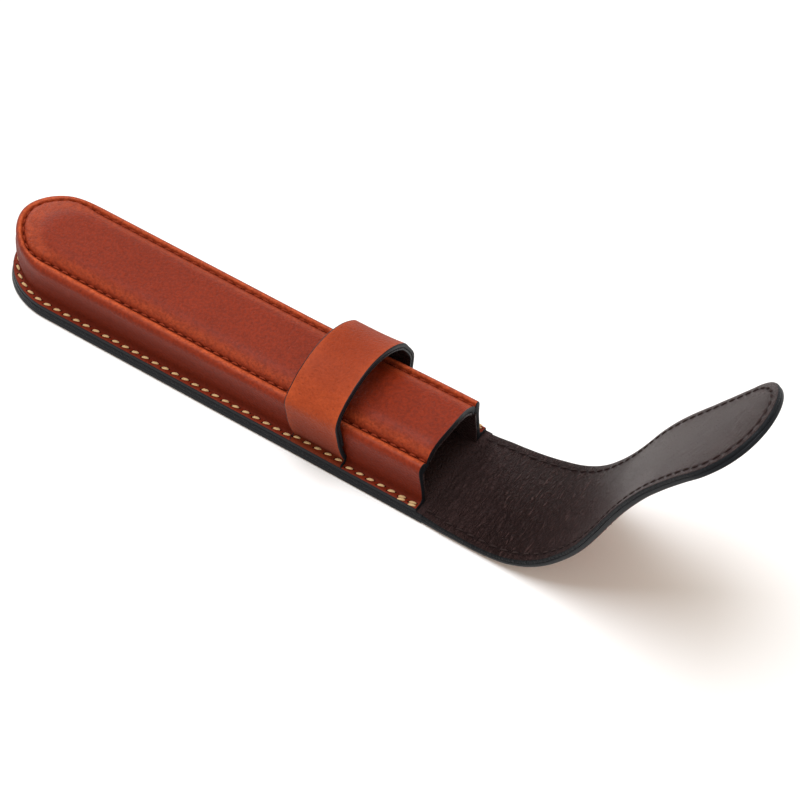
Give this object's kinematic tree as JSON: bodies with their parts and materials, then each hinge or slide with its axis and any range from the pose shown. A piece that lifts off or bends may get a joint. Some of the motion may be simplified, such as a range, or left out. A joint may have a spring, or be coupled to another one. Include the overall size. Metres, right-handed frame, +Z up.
{
  "type": "pen sleeve",
  "caption": "Slim leather sleeve for a single pen: a stitched, lined pocket with a rounded closed end, a keeper strap across it and a long flexible flap that folds over the mouth.",
  "frame": {"origin": "middle of the pocket's flat underside", "axes": "+X along the sleeve from the closed end to the mouth and the flap, +Y across it, +Z up from the face it lies on"},
  "size_m": [0.2483, 0.0384, 0.0928],
  "materials": {
    "outer_leather": "smooth red-brown bridle leather, waxed",
    "keeper_leather": "smooth tan-brown bridle leather",
    "lining_leather": "fine-grained dark brown lining leather",
    "cream_thread": "waxed linen thread, cream",
    "red_thread": "waxed linen thread, dark red",
    "brown_thread": "waxed linen thread, dark brown"
  },
  "bodies": {
    "case": {"back_outer": "outer_leather", "back_lining": "lining_leather", "gusset": "outer_leather", "gusset_lining": "lining_leather", "front_panel": "outer_leather", "front_lining": "lining_leather", "keeper_strap": "keeper_leather", "keeper_lining": "lining_leather", "base_seam_stitches": "cream_thread", "panel_seam_stitches": "red_thread", "border_stitches_0": "brown_thread"},
    "flap_1": {"flap_outer_1": "outer_leather", "flap_lining_1": "lining_leather", "border_stitches_1": "brown_thread"},
    "flap_2": {"flap_outer_2": "outer_leather", "flap_lining_2": "lining_leather", "border_stitches_2": "brown_thread"},
    "flap_3": {"flap_outer_3": "outer_leather", "flap_lining_3": "lining_leather", "border_stitches_3": "brown_thread"},
    "flap_4": {"flap_outer_4": "outer_leather", "flap_lining_4": "lining_leather", "border_stitches_4": "brown_thread"},
    "flap_5": {"flap_outer_5": "outer_leather", "flap_lining_5": "lining_leather", "border_stitches_5": "brown_thread"},
    "flap_6": {"flap_outer_6": "outer_leather", "flap_lining_6": "lining_leather", "border_stitches_6": "brown_thread"},
    "flap_7": {"flap_outer_7": "outer_leather", "flap_lining_7": "lining_leather", "border_stitches_7": "brown_thread"},
    "flap_8": {"flap_outer_8": "outer_leather", "flap_lining_8": "lining_leather", "border_stitches_8": "brown_thread"},
    "flap_9": {"flap_outer_9": "outer_leather", "flap_lining_9": "lining_leather", "border_stitches_9": "brown_thread"},
    "flap_10": {"flap_outer_10": "outer_leather", "flap_lining_10": "lining_leather", "border_stitches_10": "brown_thread"},
    "flap_11": {"flap_outer_11": "outer_leather", "flap_lining_11": "lining_leather", "border_stitches_11": "brown_thread"},
    "flap_12": {"flap_outer_12": "outer_leather", "flap_lining_12": "lining_leather", "border_stitches_12": "brown_thread"},
    "flap_13": {"flap_outer_13": "outer_leather", "flap_lining_13": "lining_leather", "border_stitches_13": "brown_thread"}
  },
  "joints": [
    {"name": "flap_bend_1", "type": "hinge", "parent": "case", "child": "flap_1", "pos_m": [0.0815, 0, 0.0015], "axis": [0, -1, 0], "range_deg": [-3.5, 20.5]},
    {"name": "flap_bend_2", "type": "hinge", "parent": "flap_1", "child": "flap_2", "pos_m": [0.08948, 0, 0.00199], "axis": [0, -1, 0], "range_deg": [-4.5, 21.5]},
    {"name": "flap_bend_3", "type": "hinge", "parent": "flap_2", "child": "flap_3", "pos_m": [0.09741, 0, 0.0031], "axis": [0, -1, 0], "range_deg": [-6.5, 20.5]},
    {"name": "flap_bend_4", "type": "hinge", "parent": "flap_3", "child": "flap_4", "pos_m": [0.10515, 0, 0.00511], "axis": [0, -1, 0], "range_deg": [-8, 13]},
    {"name": "flap_bend_5", "type": "hinge", "parent": "flap_4", "child": "flap_5", "pos_m": [0.11218, 0, 0.00892], "axis": [0, -1, 0], "range_deg": [-8, 12]},
    {"name": "flap_bend_6", "type": "hinge", "parent": "flap_5", "child": "flap_6", "pos_m": [0.11799, 0, 0.01443], "axis": [0, -1, 0], "range_deg": [-5, 15.5]},
    {"name": "flap_bend_7", "type": "hinge", "parent": "flap_6", "child": "flap_7", "pos_m": [0.1228, 0, 0.02082], "axis": [0, -1, 0], "range_deg": [-3, 10.5]},
    {"name": "flap_bend_8", "type": "hinge", "parent": "flap_7", "child": "flap_8", "pos_m": [0.12704, 0, 0.0276], "axis": [0, -1, 0], "range_deg": [-2, 2.5]},
    {"name": "flap_bend_9", "type": "hinge", "parent": "flap_8", "child": "flap_9", "pos_m": [0.13073, 0, 0.0347], "axis": [0, -1, 0], "range_deg": [-2, 0.5]},
    {"name": "flap_bend_10", "type": "hinge", "parent": "flap_9", "child": "flap_10", "pos_m": [0.13698, 0, 0.04723], "axis": [0, -1, 0], "range_deg": [-2, 5.5]},
    {"name": "flap_bend_11", "type": "hinge", "parent": "flap_10", "child": "flap_11", "pos_m": [0.1444, 0, 0.0591], "axis": [0, -1, 0], "range_deg": [-2, 4.5]},
    {"name": "flap_bend_12", "type": "hinge", "parent": "flap_11", "child": "flap_12", "pos_m": [0.15273, 0, 0.07035], "axis": [0, -1, 0], "range_deg": [-2, 2]},
    {"name": "flap_bend_13", "type": "hinge", "parent": "flap_12", "child": "flap_13", "pos_m": [0.16144, 0, 0.08131], "axis": [0, -1, 0], "range_deg": [-2, 3]}
  ]
}
